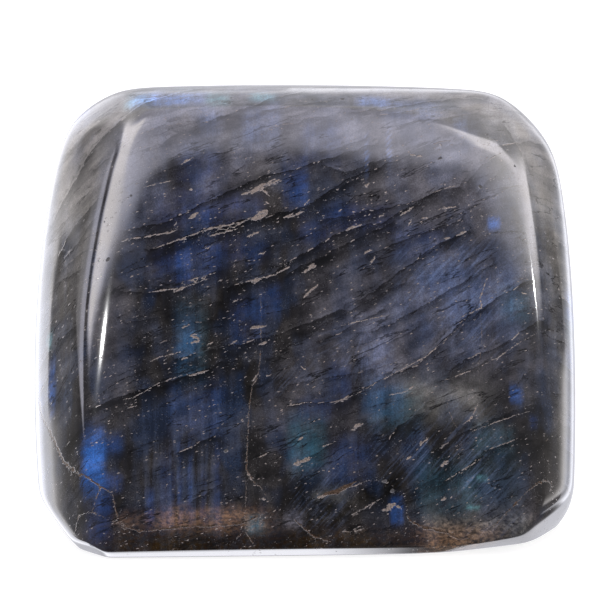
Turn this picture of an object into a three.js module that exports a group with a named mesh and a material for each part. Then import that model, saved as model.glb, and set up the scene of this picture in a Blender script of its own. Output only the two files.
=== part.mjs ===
import * as THREE from 'three';
import { mergeVertices } from 'three/addons/utils/BufferGeometryUtils.js';

// One polished stone standing on a flat cut base.
// Millimetres and degrees: X runs across, Y from front to back, Z up.

const HEIGHT = 92;
const LEFT_REACH = 55.2;
const RIGHT_REACH = 55.3;
const BACK_REACH = 24;
const FRONT_REACH = 20;
const FRONT_LEAN = 7.5;

// The surface grid: cells across, from front to back, and up.
const CELLS_ACROSS = 34;
const CELLS_DEEP = 14;
const CELLS_UP = 28;

// How strongly the grid lines crowd towards the edges of each side of the box.
const CROWDING = 0.25;

// The grid is a box this large each way from the middle of the stone, pushed out to the surface.
const MIDDLE_HEIGHT = 46;
const GRID_REACH = new THREE.Vector3(51, 24, 46);
const SEARCH_REACH = 100;
const SEARCH_STEPS = 40;

// Each facet is a slightly bulged plane. turn is its heading, 0 for the front and 90 for the
// right; tilt is how far it looks up; at is a point on it; across and up are its bulge radii;
// soft is how far the edge it makes with its neighbours is rounded.
const FRONT_FACETS = [
  { name: 'front', turn: 2, tilt: FRONT_LEAN, at: [0, -FRONT_REACH, 47], across: 900, up: 4000, soft: 0 },
  { name: 'left shoulder', turn: -18, tilt: 9.5, at: [-37, -19.8, 50], across: 200, up: 3000, soft: 2 },
  { name: 'right shoulder', turn: 22, tilt: 9.5, at: [43, -14.6, 60], across: 200, up: 3000, soft: 2 },
  { name: 'brow', turn: 2, tilt: 17, at: [0, -16.2, 81], across: 600, up: 300, soft: 2 },
];

// The bevels round the front face. edge is a point of the ridge, as x and z on the front face.
const BEVELS = [
  { name: 'left low', turn: -52, tilt: 5, edge: [-44.6, 34], across: 400, up: 400, soft: 1.6 },
  { name: 'left high', turn: -48, tilt: 13, edge: [-41.2, 68], across: 400, up: 800, soft: 1.4 },
  { name: 'left top', turn: -41, tilt: 20, edge: [-36.8, 80.6], across: 500, up: 500, soft: 1.4 },
  { name: 'left corner', turn: -40, tilt: 36, edge: [-31.5, 87.2], across: 400, up: 400, soft: 1.4 },
  { name: 'top', turn: 0, tilt: 60, edge: [-8, 88.9], across: 400, up: 400, soft: 1.2 },
  { name: 'top fall', turn: 12, tilt: 52, edge: [22, 87.4], across: 300, up: 300, soft: 1.6 },
  { name: 'right corner', turn: 24, tilt: 40, edge: [34, 83.6], across: 200, up: 200, soft: 2 },
  { name: 'right top', turn: 38, tilt: 22, edge: [41, 77.5], across: 200, up: 200, soft: 1.6 },
  { name: 'right high', turn: 49, tilt: 11, edge: [44.6, 68], across: 200, up: 800, soft: 1.4 },
  { name: 'right low', turn: 50, tilt: 4.6, edge: [47.7, 34], across: 2000, up: 2000, soft: 1.2 },
  { name: 'foot', turn: 3, tilt: -56, edge: [0, 2.6], across: 3000, up: 3000, soft: 0.8 },
];

// The sides, the top and the back, all ending at the flat sole below.
const BODY_FACETS = [
  { name: 'back', turn: 180, tilt: 5, at: [0, BACK_REACH, 46], across: 160, up: 200, soft: 6 },
  { name: 'left', turn: -90, tilt: 0, at: [-LEFT_REACH, 2, 30], across: 150, up: 290, soft: 4 },
  { name: 'right', turn: 90, tilt: 0, at: [RIGHT_REACH, 2, 22], across: 150, up: 480, soft: 4 },
  { name: 'top', turn: 90, tilt: 90, at: [-10, -3, HEIGHT], across: 90, up: 1500, soft: 3 },
  { name: 'top left', turn: -90, tilt: 50, at: [-46.2, 0, 85.8], across: 200, up: 150, soft: 6 },
  { name: 'top right', turn: 90, tilt: 44, at: [47.4, 0, 82.9], across: 200, up: 200, soft: 5 },
  { name: 'low right', turn: 62, tilt: -38, at: [50, -10, 4], across: 200, up: 200, soft: 3 },
  { name: 'foot right', turn: 25, tilt: -64, at: [38, -17, 0.8], across: 1000, up: 1000, soft: 2 },
  { name: 'low left', turn: -80, tilt: -38, at: [-51, -7, 4.5], across: 300, up: 300, soft: 2 },
  { name: 'foot left', turn: -50, tilt: -50, at: [-45.5, -18, 1], across: 300, up: 300, soft: 1 },
  { name: 'back left', turn: -135, tilt: 5, at: [-44, 16, 45], across: 150, up: 250, soft: 6 },
  { name: 'back right', turn: 135, tilt: 5, at: [45, 16, 45], across: 150, up: 250, soft: 6 },
  { name: 'back top', turn: 180, tilt: 50, at: [0, 15, 85], across: 200, up: 150, soft: 6 },
  { name: 'back foot', turn: 180, tilt: -60, at: [0, 22.5, 1.5], across: 300, up: 200, soft: 1.5 },
];

function prepared(facet) {
  const turn = THREE.MathUtils.degToRad(facet.turn);
  const tilt = THREE.MathUtils.degToRad(facet.tilt);
  const normal = new THREE.Vector3(
    Math.sin(turn) * Math.cos(tilt), -Math.cos(turn) * Math.cos(tilt), Math.sin(tilt));
  const acrossDir = new THREE.Vector3(Math.cos(turn), Math.sin(turn), 0);
  const upDir = normal.clone().cross(acrossDir);
  return { ...facet, point: new THREE.Vector3(...facet.at), normal, acrossDir, upDir };
}

// How far a point lies outside one facet.
function outside(facet, point) {
  const offset = point.clone().sub(facet.point);
  const across = offset.dot(facet.acrossDir);
  const up = offset.dot(facet.upDir);
  return offset.dot(facet.normal) + across * across / (2 * facet.across) + up * up / (2 * facet.up);
}

// The larger of two distances, with the corner between them rounded.
function roundedMax(a, b, soft) {
  if (soft === 0) return Math.max(a, b);
  const near = Math.max(soft - Math.abs(a - b), 0) / soft;
  return Math.max(a, b) + near ** 3 * soft / 6;
}

function outsideAll(facets, point) {
  return facets.reduce(
    (sofar, facet) => roundedMax(sofar, outside(facet, point), facet.soft), -SEARCH_REACH);
}

// The distance along a direction at which the surface is met.
function reach(facets, start, direction) {
  let inner = 0;
  let outer = SEARCH_REACH;
  for (let step = 0; step < SEARCH_STEPS; step += 1) {
    const half = (inner + outer) / 2;
    const point = start.clone().addScaledVector(direction, half);
    if (outsideAll(facets, point) > 0) outer = half;
    else inner = half;
  }
  return (inner + outer) / 2;
}

function bevelFacet(bevel, frontFacets) {
  const [x, z] = bevel.edge;
  const forward = new THREE.Vector3(0, -1, 0);
  const y = -reach(frontFacets, new THREE.Vector3(x, 0, z), forward);
  return prepared({ ...bevel, at: [x, y, z] });
}

function allFacets() {
  const front = FRONT_FACETS.map(prepared);
  const bevels = BEVELS.map((bevel) => bevelFacet(bevel, front));
  return [...front, ...bevels, ...BODY_FACETS.map(prepared)];
}

// A point on the skin: low rows go out level from the upright axis, high rows from the middle.
function skinPoint(facets, share) {
  const start = new THREE.Vector3(0, 0, MIDDLE_HEIGHT * (1 + Math.min(share.z, 0)));
  const direction = new THREE.Vector3(share.x, share.y, Math.max(share.z, 0));
  direction.multiply(GRID_REACH).normalize();
  return direction.multiplyScalar(reach(facets, start, direction)).add(start);
}

// A point on the flat sole, between its middle and its edge.
function solePoint(facets, share) {
  const fromMiddle = Math.max(Math.abs(share.x), Math.abs(share.y));
  const direction = new THREE.Vector3(share.x, share.y, 0).multiply(GRID_REACH);
  if (fromMiddle === 0) return direction;
  direction.normalize();
  return direction.multiplyScalar(reach(facets, new THREE.Vector3(), direction) * fromMiddle);
}

function crowded(share) {
  return share * (1 + CROWDING * (1 - share * share));
}

function stoneGeometry() {
  const facets = allFacets();
  const box = new THREE.BoxGeometry(2, 2, 2, CELLS_ACROSS, CELLS_DEEP, CELLS_UP);
  box.deleteAttribute('normal');
  box.deleteAttribute('uv');
  const geometry = mergeVertices(box);
  const places = geometry.attributes.position;
  const point = new THREE.Vector3();
  for (let i = 0; i < places.count; i += 1) {
    point.fromBufferAttribute(places, i);
    const share = new THREE.Vector3(crowded(point.x), crowded(point.y), crowded(point.z));
    const placed = point.z === -1 ? solePoint(facets, share) : skinPoint(facets, share);
    places.setXYZ(i, placed.x, placed.y, placed.z);
  }
  return geometry;
}

// Moves the stone so that the middle of its box is over the origin.
function centred(geometry) {
  geometry.computeBoundingBox();
  const middle = geometry.boundingBox.getCenter(new THREE.Vector3());
  geometry.translate(-middle.x, -middle.y, 0);
  geometry.computeVertexNormals();
  return geometry;
}

const polishedStone = new THREE.MeshStandardMaterial({
  color: new THREE.Color(0.07, 0.08, 0.11), roughness: 0.12, metalness: 0,
});

const stone = new THREE.Mesh(centred(stoneGeometry()), polishedStone);
stone.name = 'stone';

const group = new THREE.Group();
group.name = 'polished_stone';
group.add(stone);

export default group;
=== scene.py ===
# A polished block of labradorite: its fine surface, its stone pattern, and the light it stands in.
import math

import bpy
import numpy as np
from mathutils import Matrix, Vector


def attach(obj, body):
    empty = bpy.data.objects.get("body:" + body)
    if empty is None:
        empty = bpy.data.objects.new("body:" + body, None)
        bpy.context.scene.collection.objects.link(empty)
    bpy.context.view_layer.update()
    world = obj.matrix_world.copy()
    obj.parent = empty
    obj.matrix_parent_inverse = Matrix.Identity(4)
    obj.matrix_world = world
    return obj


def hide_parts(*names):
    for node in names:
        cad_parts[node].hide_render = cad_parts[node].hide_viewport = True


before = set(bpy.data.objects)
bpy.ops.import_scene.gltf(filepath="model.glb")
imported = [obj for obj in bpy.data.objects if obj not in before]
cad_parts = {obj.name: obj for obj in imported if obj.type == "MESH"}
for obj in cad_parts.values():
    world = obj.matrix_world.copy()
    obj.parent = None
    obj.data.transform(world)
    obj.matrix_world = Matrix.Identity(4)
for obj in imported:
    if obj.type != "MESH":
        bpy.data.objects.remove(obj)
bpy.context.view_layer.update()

MM = 0.001

# The stone's facets, in millimetres and degrees, as in the solid.
# Each is: heading (0 is the front, 90 the right), tilt upwards, a point on it, its bulge radii
# across and up, and how far the edge with its neighbours is rounded.
FRONT_LEAN = 7.5
FRONT_REACH = 20.0
FRONT_MIDDLE = 47.0
HEIGHT = 92.0
FRONT_FACETS = {
    "front": (2, FRONT_LEAN, (0, -FRONT_REACH, FRONT_MIDDLE), 900, 4000, 0),
    "left shoulder": (-18, 9.5, (-37, -19.8, 50), 200, 3000, 2),
    "right shoulder": (22, 9.5, (43, -14.6, 60), 200, 3000, 2),
    "brow": (2, 17, (0, -16.2, 81), 600, 300, 2),
}

# The bevels round the front: heading, tilt, a ridge point as x and z, bulge radii, rounding.
BEVELS = {
    "left low": (-52, 5, (-44.6, 34), 400, 400, 1.6),
    "left high": (-48, 13, (-41.2, 68), 400, 800, 1.4),
    "left top": (-41, 20, (-36.8, 80.6), 500, 500, 1.4),
    "left corner": (-40, 36, (-31.5, 87.2), 400, 400, 1.4),
    "top": (0, 60, (-8, 88.9), 400, 400, 1.2),
    "top fall": (12, 52, (22, 87.4), 300, 300, 1.6),
    "right corner": (24, 40, (34, 83.6), 200, 200, 2),
    "right top": (38, 22, (41, 77.5), 200, 200, 1.6),
    "right high": (49, 11, (44.6, 68), 200, 800, 1.4),
    "right low": (50, 4.6, (47.7, 34), 2000, 2000, 1.2),
    "foot": (3, -56, (0, 2.6), 3000, 3000, 0.8),
}
BODY_FACETS = {
    "back": (180, 5, (0, 24, 46), 160, 200, 6),
    "left": (-90, 0, (-55.2, 2, 30), 150, 290, 4),
    "right": (90, 0, (55.3, 2, 22), 150, 480, 4),
    "top": (90, 90, (-10, -3, HEIGHT), 90, 1500, 3),
    "top left": (-90, 50, (-46.2, 0, 85.8), 200, 150, 6),
    "top right": (90, 44, (47.4, 0, 82.9), 200, 200, 5),
    "low right": (62, -38, (50, -10, 4), 200, 200, 3),
    "foot right": (25, -64, (38, -17, 0.8), 1000, 1000, 2),
    "low left": (-80, -38, (-51, -7, 4.5), 300, 300, 2),
    "foot left": (-50, -50, (-45.5, -18, 1), 300, 300, 1),
    "back left": (-135, 5, (-44, 16, 45), 150, 250, 6),
    "back right": (135, 5, (45, 16, 45), 150, 250, 6),
    "back top": (180, 50, (0, 15, 85), 200, 150, 6),
    "back foot": (180, -60, (0, 22.5, 1.5), 300, 200, 1.5),
}

# The surface grid: cells across, deep and up, and the box that it is spread over.
GRID_CELLS = (176, 56, 148)
GRID_REACH = np.array([51.0, 24.0, 46.0])
CROWDING = 0.25
MIDDLE_HEIGHT = 46.0
SEARCH_REACH = 100.0
SEARCH_STEPS = 26

# The cleavage planes run from front to back, dropping this much for each millimetre of depth.
CLEAVAGE_DROP = 0.9

# Across the front, the beds rise by BED_SLOPE times x and BED_CURVE times the square of x.
BED_SLOPE = 0.40
BED_CURVE = 0.00125

# Cracks, fill and pits are drawn only where the depth behind the front face is less than this.
FRONT_DEPTH = 24.0

# The dark band under a cleavage line reaches this many times the line's width.
BAND_REACH = 1.7

# The camera stands where the photograph's did, so that each of its pixels is a line of sight.
CAMERA_HEIGHT_ANGLE = 10.0
CAMERA_DISTANCE = 0.620
FRAME_WIDTH = 0.1222
AIM_HEIGHT = 0.0479
AIM_LEFT = 0.001

# Where a line of sight is tried, in millimetres before and behind the point that the camera aims at.
SIGHT_STEPS = np.arange(-45.0, 46.0, 1.0)

# Marks on the stone, read from enlarged views of the photograph, and some of them moved to suit the
# shape. A place is a pixel of the photograph, across and down, and the script works out where on the
# stone the camera sees it. Widths and half sizes are in millimetres.
PHOTO_SIDE = 600

# Cleavage lines: how wide the dark band under the line is, how strong, and places along it.
CLEAVAGE = [
    (0.9, 0.95, [(128, 230), (160, 223), (266, 175), (284, 172), (374, 144)]),
    (0.8, 0.8, [(124, 240), (154, 235)]),
    (2, 1, [(153, 249), (204, 229), (302, 208), (346, 180), (424, 149)]),
    (1, 0.8, [(124, 291), (150, 292), (184, 287), (214, 272)]),
    (1.6, 1, [(230, 287), (270, 275), (290, 260), (342, 232), (386, 220), (440, 188)]),
    (1.2, 0.8, [(324, 220), (402, 204), (456, 188)]),
    (1.8, 0.95, [(290, 272), (390, 223)]),
    (1.4, 0.8, [(372, 252), (458, 220)]),
    (1.4, 0.9, [(364, 298), (434, 246), (466, 232)]),
    (1.2, 0.8, [(268, 341), (316, 328), (402, 283)]),
    (1, 0.8, [(378, 330), (438, 298), (490, 265)]),
    (1.4, 0.9, [(456, 334), (470, 318), (532, 279)]),
    (2.4, 1, [(94, 408), (206, 370), (220, 362)]),
    (2, 0.9, [(178, 358), (280, 334), (340, 310)]),
    (1.6, 0.8, [(66, 446), (82, 428), (94, 410)]),
    (1.2, 0.9, [(338, 402), (374, 382), (418, 363), (474, 310)]),
    (0.8, 0.7, [(324, 340), (380, 311)]),
    (0.7, 0.6, [(290, 384), (370, 370)]),
    (0.8, 0.7, [(290, 404), (340, 401)]),
    (0.6, 0.6, [(390, 342), (416, 327)]),
    (1.3, 0.8, [(452, 368), (464, 360), (502, 346), (541, 321)]),
    (0.8, 0.7, [(442, 380), (476, 368), (486, 361)]),
    (0.5, 0.6, [(518, 382), (526, 374)]),
    (1.2, 0.8, [(438, 448), (458, 435), (533, 405)]),
    (0.9, 0.8, [(446, 480), (482, 457)]),
    (0.9, 0.8, [(490, 450), (518, 438)]),
    (1.6, 0.9, [(388, 440), (398, 426), (422, 413)]),
    (0.7, 0.7, [(306, 458), (332, 444)]),
    (0.8, 0.7, [(350, 516), (364, 510), (378, 498)]),
    (2.4, 0.9, [(178, 453), (212, 437)]),
    (0.8, 0.7, [(194, 501), (218, 486)]),
    (1.6, 0.5, [(140, 180), (196, 160)]),
    (1.2, 0.6, [(130, 322), (160, 318), (200, 304), (236, 300)]),
    (1, 0.6, [(150, 335), (190, 322), (230, 318)]),
    (0.9, 0.5, [(523, 461), (546, 440)]),
    (1.2, 0.6, [(400, 500), (446, 470)]),
    (1, 0.5, [(118, 352), (176, 338)]),
    (0.7, 0.6, [(66, 256), (80, 240), (106, 204)]),
    (1.6, 0.8, [(52, 354), (62, 337), (76, 326)]),
    (1.6, 1, [(54, 220), (93, 149), (190, 90)]),
    (0.8, 0.6, [(70, 150), (92, 128), (108, 113), (122, 112)]),
    (0.9, 0.7, [(98, 166), (120, 151)]),
    (1.6, 0.9, [(52, 274), (58, 256), (72, 230), (98, 199)]),
    (0.8, 0.6, [(60, 282), (79, 271)]),
    (0.7, 0.5, [(64, 268), (86, 250)]),
    (1.8, 0.6, [(140, 134), (160, 126), (195, 121)]),
    (1.4, 0.9, [(185, 130), (258, 105), (270, 98), (300, 92)]),
    (1.2, 0.8, [(265, 110), (280, 109), (330, 100)]),
    (1.2, 0.5, [(260, 133), (280, 124), (295, 124), (305, 118), (330, 117)]),
    (1.6, 0.6, [(165, 142), (178, 133), (195, 131)]),
    (1.2, 0.8, [(350, 112), (380, 110), (460, 98), (480, 99)]),
    (1, 0.8, [(365, 117), (400, 112), (440, 106)]),
    (1.2, 0.6, [(430, 122), (475, 113)]),
    (1.4, 0.8, [(326, 166), (345, 172), (450, 139)]),
    (1, 0.6, [(425, 155), (460, 143)]),
    (1, 0.7, [(326, 152), (362, 140)]),
    (1.4, 0.7, [(470, 178), (505, 150)]),
    (1, 0.6, [(480, 190), (515, 160)]),
    (1.2, 0.7, [(506, 128), (520, 150), (530, 190)]),
]

# The lines are shared out over two groups, so that lines close to each other don't meet in one.
CLEAVAGE_GROUPS = ("cleavage one", "cleavage two")

# Cracks: half width, and places along each.
CRACKS = [
    (0.12, [(261, 290), (261, 344), (258, 376), (252, 386), (249, 406), (246, 468), (252, 480),
            (262, 488), (268, 499)]),
    (0.07, [(246, 480), (245, 522)]),
    (0.22, [(36, 386), (42, 416), (64, 462), (78, 474), (100, 486), (112, 492)]),
    (0.12, [(100, 486), (92, 512)]),
    (0.12, [(74, 536), (78, 516), (92, 512), (126, 529)]),
    (0.19, [(112, 492), (118, 520), (130, 528), (142, 531), (186, 526), (230, 525), (246, 522),
            (266, 512)]),
    (0.12, [(246, 524), (244, 530), (230, 544)]),
    (0.12, [(244, 530), (256, 550)]),
    (0.19, [(290, 516), (314, 536), (330, 541)]),
    (0.22, [(406, 512), (410, 520), (420, 526), (448, 532), (456, 538), (470, 538)]),
    (0.15, [(490, 530), (534, 485), (546, 480), (554, 485), (549, 492)]),
    (0.06, [(482, 273), (480, 309), (482, 340), (478, 372), (484, 420)]),
    (0.07, [(448, 400), (447, 408), (459, 432)]),
    (0.5, [(322, 495), (338, 491), (356, 481)]),
]

# Chips of pale fill: half width, and the two ends of each, across and down.
CHIPS = [
    (0.3, 189, 218, 198, 212), (0.5, 252, 192, 266, 183), (0.4, 266, 184, 279, 180),
    (0.2, 241, 194, 252, 191), (0.2, 260, 187, 269, 195), (0.15, 264, 201, 269, 203),
    (0.8, 252, 218, 267, 211), (0.3, 178, 240, 187, 237), (0.15, 208, 236, 238, 228),
    (0.2, 247, 236, 260, 231), (0.3, 174, 226, 177, 221), (0.15, 180, 164, 193, 157),
    (0.2, 189, 189, 192, 189), (0.1, 252, 162, 258, 161), (0.25, 283, 217, 304, 211),
    (0.15, 304, 205, 309, 199), (0.3, 172, 290, 184, 287), (0.1, 182, 282, 216, 272),
    (0.4, 253, 282, 259, 279), (0.15, 278, 272, 290, 266), (0.15, 217, 282, 222, 279),
    (0.1, 232, 302, 240, 298), (0.15, 256, 255, 266, 251), (0.1, 132, 317, 138, 315),
    (0.2, 181, 328, 190, 324), (0.2, 190, 335, 198, 333), (0.3, 191, 343, 199, 340),
    (0.12, 179, 360, 190, 356), (0.25, 188, 375, 208, 370), (0.1, 126, 408, 138, 405),
    (0.3, 250, 328, 266, 325), (0.4, 260, 345, 266, 342), (0.25, 252, 381, 257, 375),
    (0.5, 294, 464, 309, 458), (0.3, 303, 461, 310, 457), (0.1, 256, 458, 269, 452),
    (0.15, 300, 365, 306, 370), (0.15, 265, 376, 271, 374), (0.2, 298, 440, 303, 436),
    (0.2, 259, 498, 266, 499), (0.3, 350, 430, 364, 422), (0.2, 352, 430, 354, 427),
    (0.5, 420, 444, 428, 438), (0.2, 406, 459, 411, 456), (0.4, 441, 465, 448, 461),
    (0.12, 439, 449, 450, 441), (0.4, 442, 499, 445, 496), (0.5, 383, 510, 396, 503),
    (0.4, 394, 503, 401, 508), (0.4, 317, 497, 327, 494), (0.2, 456, 235, 466, 231),
    (0.25, 445, 238, 450, 238), (0.2, 364, 253, 372, 249), (0.15, 368, 267, 375, 256),
    (0.5, 307, 269, 316, 265), (0.2, 302, 272, 308, 270), (0.2, 346, 229, 362, 224),
    (0.2, 400, 215, 414, 206), (0.2, 408, 225, 411, 221), (0.15, 421, 218, 428, 217),
    (0.25, 365, 186, 369, 183), (0.15, 370, 195, 373, 194), (0.15, 337, 190, 339, 188),
    (0.15, 339, 211, 341, 209), (0.15, 378, 217, 384, 214), (0.15, 442, 208, 456, 206),
    (0.2, 303, 297, 318, 284), (0.15, 521, 292, 528, 294), (0.2, 410, 154, 422, 156),
    (0.15, 168, 369, 171, 368), (0.1, 206, 345, 214, 341), (0.1, 204, 249, 212, 245),
    (0.15, 234, 261, 236, 259), (0.1, 230, 344, 238, 339), (0.2, 247, 471, 252, 480),
    (0.15, 130, 277, 133, 275),
]

# Seams of the same fill: half width, and places along each.
SEAMS = [
    (0.16, [(154, 248), (210, 228), (242, 222), (253, 216)]),
    (0.12, [(124, 239), (142, 237), (170, 232), (179, 228)]),
    (0.1, [(143, 187), (173, 180)]),
    (0.13, [(146, 292), (184, 287), (208, 278)]),
    (0.12, [(234, 284), (276, 274)]),
    (0.1, [(148, 363), (158, 357), (182, 351)]),
    (0.09, [(122, 399), (134, 397), (160, 382), (184, 374)]),
    (0.08, [(182, 450), (194, 446), (201, 439)]),
    (0.08, [(285, 406), (310, 401)]),
    (0.08, [(340, 402), (426, 356), (460, 326)]),
    (0.14, [(388, 395), (406, 391), (414, 385)]),
    (0.08, [(442, 381), (478, 367)]),
    (0.08, [(484, 364), (498, 357), (538, 332)]),
    (0.13, [(462, 424), (471, 418), (478, 402)]),
    (0.08, [(471, 431), (530, 411)]),
    (0.09, [(320, 447), (336, 441)]),
    (0.07, [(444, 481), (483, 457)]),
    (0.07, [(484, 451), (518, 438)]),
    (0.08, [(349, 516), (383, 497)]),
    (0.08, [(335, 493), (370, 479), (380, 480)]),
    (0.08, [(340, 531), (356, 531), (366, 527)]),
    (0.13, [(488, 275), (480, 297), (482, 307), (460, 317)]),
    (0.07, [(428, 193), (459, 184)]),
    (0.08, [(340, 325), (390, 314)]),
]

# Pits in the polish: place and half width.
PITS = [
    (108, 259, 0.5), (100, 243, 0.3), (99, 260, 0.2), (131, 195, 0.3), (122, 202, 0.2),
    (111, 276, 0.3), (104, 221, 0.2), (208, 97, 0.4), (221, 101, 0.5), (231, 97, 0.4),
    (342, 98, 0.6), (312, 99, 0.4), (440, 158, 0.6), (472, 163, 0.3), (481, 186, 0.5),
    (487, 134, 0.5), (495, 155, 0.2), (514, 165, 0.3), (546, 232, 0.3), (549, 244, 0.2),
    (541, 268, 0.2), (218, 404, 0.3), (250, 360, 0.4), (226, 450, 0.5), (384, 480, 0.6),
    (392, 490, 0.5),
]

# About how many pixels of the photograph one millimetre of the front face takes.
PIXELS_PER_MM = 5.0

# Colours of the light that the stone sends back.
TINTS = {
    "blue": (0.003, 0.015, 0.060),
    "deep": (0.002, 0.007, 0.030),
    "bright": (0.006, 0.048, 0.180),
    "teal": (0.006, 0.034, 0.050),
    "aqua": (0.040, 0.120, 0.130),
    "sky": (0.028, 0.046, 0.100),
    "grey": (0.040, 0.040, 0.050),
    # A pale tint for the painted reflection across the top of the front.
    "haze": (0.050, 0.049, 0.056),
    "olive": (0.040, 0.039, 0.034),
    "brown": (0.050, 0.026, 0.012),
    "dark": (-0.008, -0.008, -0.010),
}

# Flashes: the pixel of the middle, half size across and up, tint and strength.
FLASHES = [
    (296, 183, 2.4, 4.0, "blue", 1.0), (185, 262, 6.9, 3.5, "deep", 0.7),
    (184, 264, 1.6, 3.7, "blue", 0.5), (270, 300, 2.0, 3.0, "blue", 0.5),
    (195, 210, 7.3, 3.1, "deep", 0.9), (199, 170, 4.2, 4.0, "deep", 0.6),
    (247, 205, 3.0, 2.0, "deep", 0.8), (229, 249, 6.5, 2.6, "deep", 0.6),
    (315, 230, 3.0, 3.0, "deep", 0.7), (361, 218, 6.1, 2.7, "deep", 0.9),
    (418, 240, 4.7, 2.9, "blue", 0.45), (494, 223, 1.1, 1.0, "bright", 0.9),
    (191, 344, 3.0, 6.8, "teal", 0.5), (186, 341, 2.4, 5.0, "blue", 0.4),
    (196, 405, 5.0, 5.0, "blue", 0.4), (93, 459, 2.2, 5.4, "bright", 0.9),
    (113, 442, 1.8, 1.6, "blue", 0.7), (113, 482, 1.8, 1.6, "blue", 0.8),
    (103, 504, 1.8, 1.6, "blue", 0.8), (97, 528, 2.6, 2.8, "blue", 0.5),
    (52, 385, 0.7, 4.6, "bright", 0.8), (50, 342, 0.5, 1.8, "aqua", 0.9),
    (150, 507, 0.8, 3.0, "blue", 0.9), (167, 488, 1.4, 6.4, "blue", 0.4),
    (180, 480, 0.4, 8.0, "blue", 0.5), (190, 485, 0.4, 7.0, "blue", 0.5),
    (204, 495, 0.4, 5.0, "blue", 0.4), (217, 485, 0.6, 7.0, "blue", 0.45),
    (307, 443, 3.4, 4.6, "teal", 0.8), (315, 410, 3.0, 2.0, "blue", 0.4),
    (393, 404, 5.3, 4.0, "teal", 0.5), (383, 398, 4.0, 3.6, "blue", 0.35),
    (351, 460, 4.2, 4.0, "blue", 0.4), (446, 487, 5.5, 5.0, "teal", 0.45),
    (493, 437, 3.8, 2.6, "teal", 0.5), (482, 478, 1.0, 0.5, "aqua", 0.5),
    (473, 507, 1.2, 0.4, "aqua", 0.6), (516, 393, 1.2, 1.5, "bright", 0.7),
    (533, 421, 0.8, 1.2, "blue", 0.6), (397, 510, 1.2, 2.4, "bright", 0.6),
    (255, 524, 1.8, 1.6, "teal", 1.0), (138, 99, 2.6, 2.2, "aqua", 0.6),
    (171, 97, 6.4, 2.6, "sky", 1.9), (158, 99, 5.0, 2.0, "bright", 1.0),
    (218, 98, 2.2, 2.4, "aqua", 0.7), (263, 96, 2.4, 1.8, "aqua", 0.7),
    (372, 101, 2.8, 1.8, "sky", 2.0), (412, 108, 5.6, 2.8, "sky", 0.8),
    (211, 118, 2.2, 3.0, "sky", 0.5), (252, 125, 1.8, 3.6, "sky", 0.7),
    (271, 120, 1.6, 5.0, "sky", 0.5), (367, 156, 0.25, 4.0, "sky", 1.2),
    (389, 149, 0.25, 3.4, "sky", 1.2), (460, 124, 1.2, 1.8, "sky", 0.6),
    (322, 140, 4.4, 4.0, "blue", 0.4), (480, 295, 7.9, 7.0, "sky", 0.3),
    (435, 299, 6.9, 6.0, "sky", 0.35), (375, 350, 3.0, 4.0, "sky", 0.4),
    (340, 380, 2.0, 4.0, "blue", 0.4), (515, 305, 3.0, 3.0, "teal", 0.5),
    (247, 320, 3.2, 4.0, "blue", 0.4),
]

# Clouds, most of them grey, olive, brown or dark, and one painted reflection: a pale patch across the
# top that stands in for light reflected by the polish. Each middle is a place in millimetres: x, and
# its level among the cleavage planes, which is the height on the front face.
CLOUDS = [
    (25, 50, 22, 14, "grey", 0.62), (28, 72, 13, 7, "grey", 0.55), (2, 30, 10, 8, "grey", 0.25),
    (-38, 45, 4, 12, "grey", 0.4), (28, 33, 9, 4.5, "olive", 1.0), (-2, 8.5, 1.8, 1.6, "grey", 1.0),
    (39, 90, 4, 4, "olive", 1.2), (48, 70, 5, 14, "olive", 0.5), (-18, 8.2, 10, 2.2, "brown", 0.9),
    (-31, 8.0, 6, 1.6, "brown", 0.5), (31, 5.2, 8, 2.8, "brown", 1.0), (30, 7.5, 6, 2.2, "olive", 0.5),
    (41, 7, 6, 4, "olive", 0.6), (0, 4.0, 50, 3, "brown", 0.15), (-14, 3.4, 26, 2.6, "dark", 0.6),
    (50, 4, 5, 7, "brown", 0.6), (3, 11, 6, 4, "dark", 0.8), (5, 13.5, 3, 1.4, "olive", 0.8),
    (-47, 70, 5, 14, "olive", 0.3), (-14, 40, 4, 14, "dark", 0.5), (15, 15, 4, 3, "dark", 1.0),
    (0, 2.5, 60, 2.5, "dark", 0.3), (0, 87, 38, 10, "haze", 1.2), (16.5, 40.5, 3.4, 5, "grey", 0.7),
    (-30, 67, 5, 5, "grey", 0.3), (-16, 73, 5, 5, "grey", 0.55), (-29, 70, 3, 3, "grey", 0.3),
    (38, 18, 5, 5, "teal", 0.3), (10, 47, 8, 4, "grey", 0.5), (41, 15, 5, 5, "grey", 0.3),
]

# Veils of pale streaks, placed as the clouds are: a fan that spreads from FAN_TOP, slanted silk,
# and upright silk.
VEIL_KINDS = ["fan", "slant", "upright"]
FAN_TOP = (12.0, 46.5)
VEILS = [
    (9, 40, 6, 6, "fan", 0.8), (27, 57, 9, 7, "slant", 0.7), (33, 46, 8, 6, "slant", 0.6),
    (38, 57, 6, 8, "slant", 0.4), (-2, 36, 6, 3, "slant", 0.4), (3, 13, 5, 6, "slant", 0.7),
    (30, 24, 8, 7, "slant", 0.7), (37, 15, 6, 8, "slant", 0.5), (18, 22, 6, 6, "slant", 0.4),
    (-24, 15, 8, 7, "upright", 1.0), (-29, 26, 6, 7, "upright", 0.5), (-16, 27, 4, 6, "upright", 0.4),
    (-22, 55, 8, 5, "upright", 0.3), (-51, 50, 5, 30, "upright", 0.6), (50, 60, 6, 30, "upright", 0.4),
]

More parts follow.
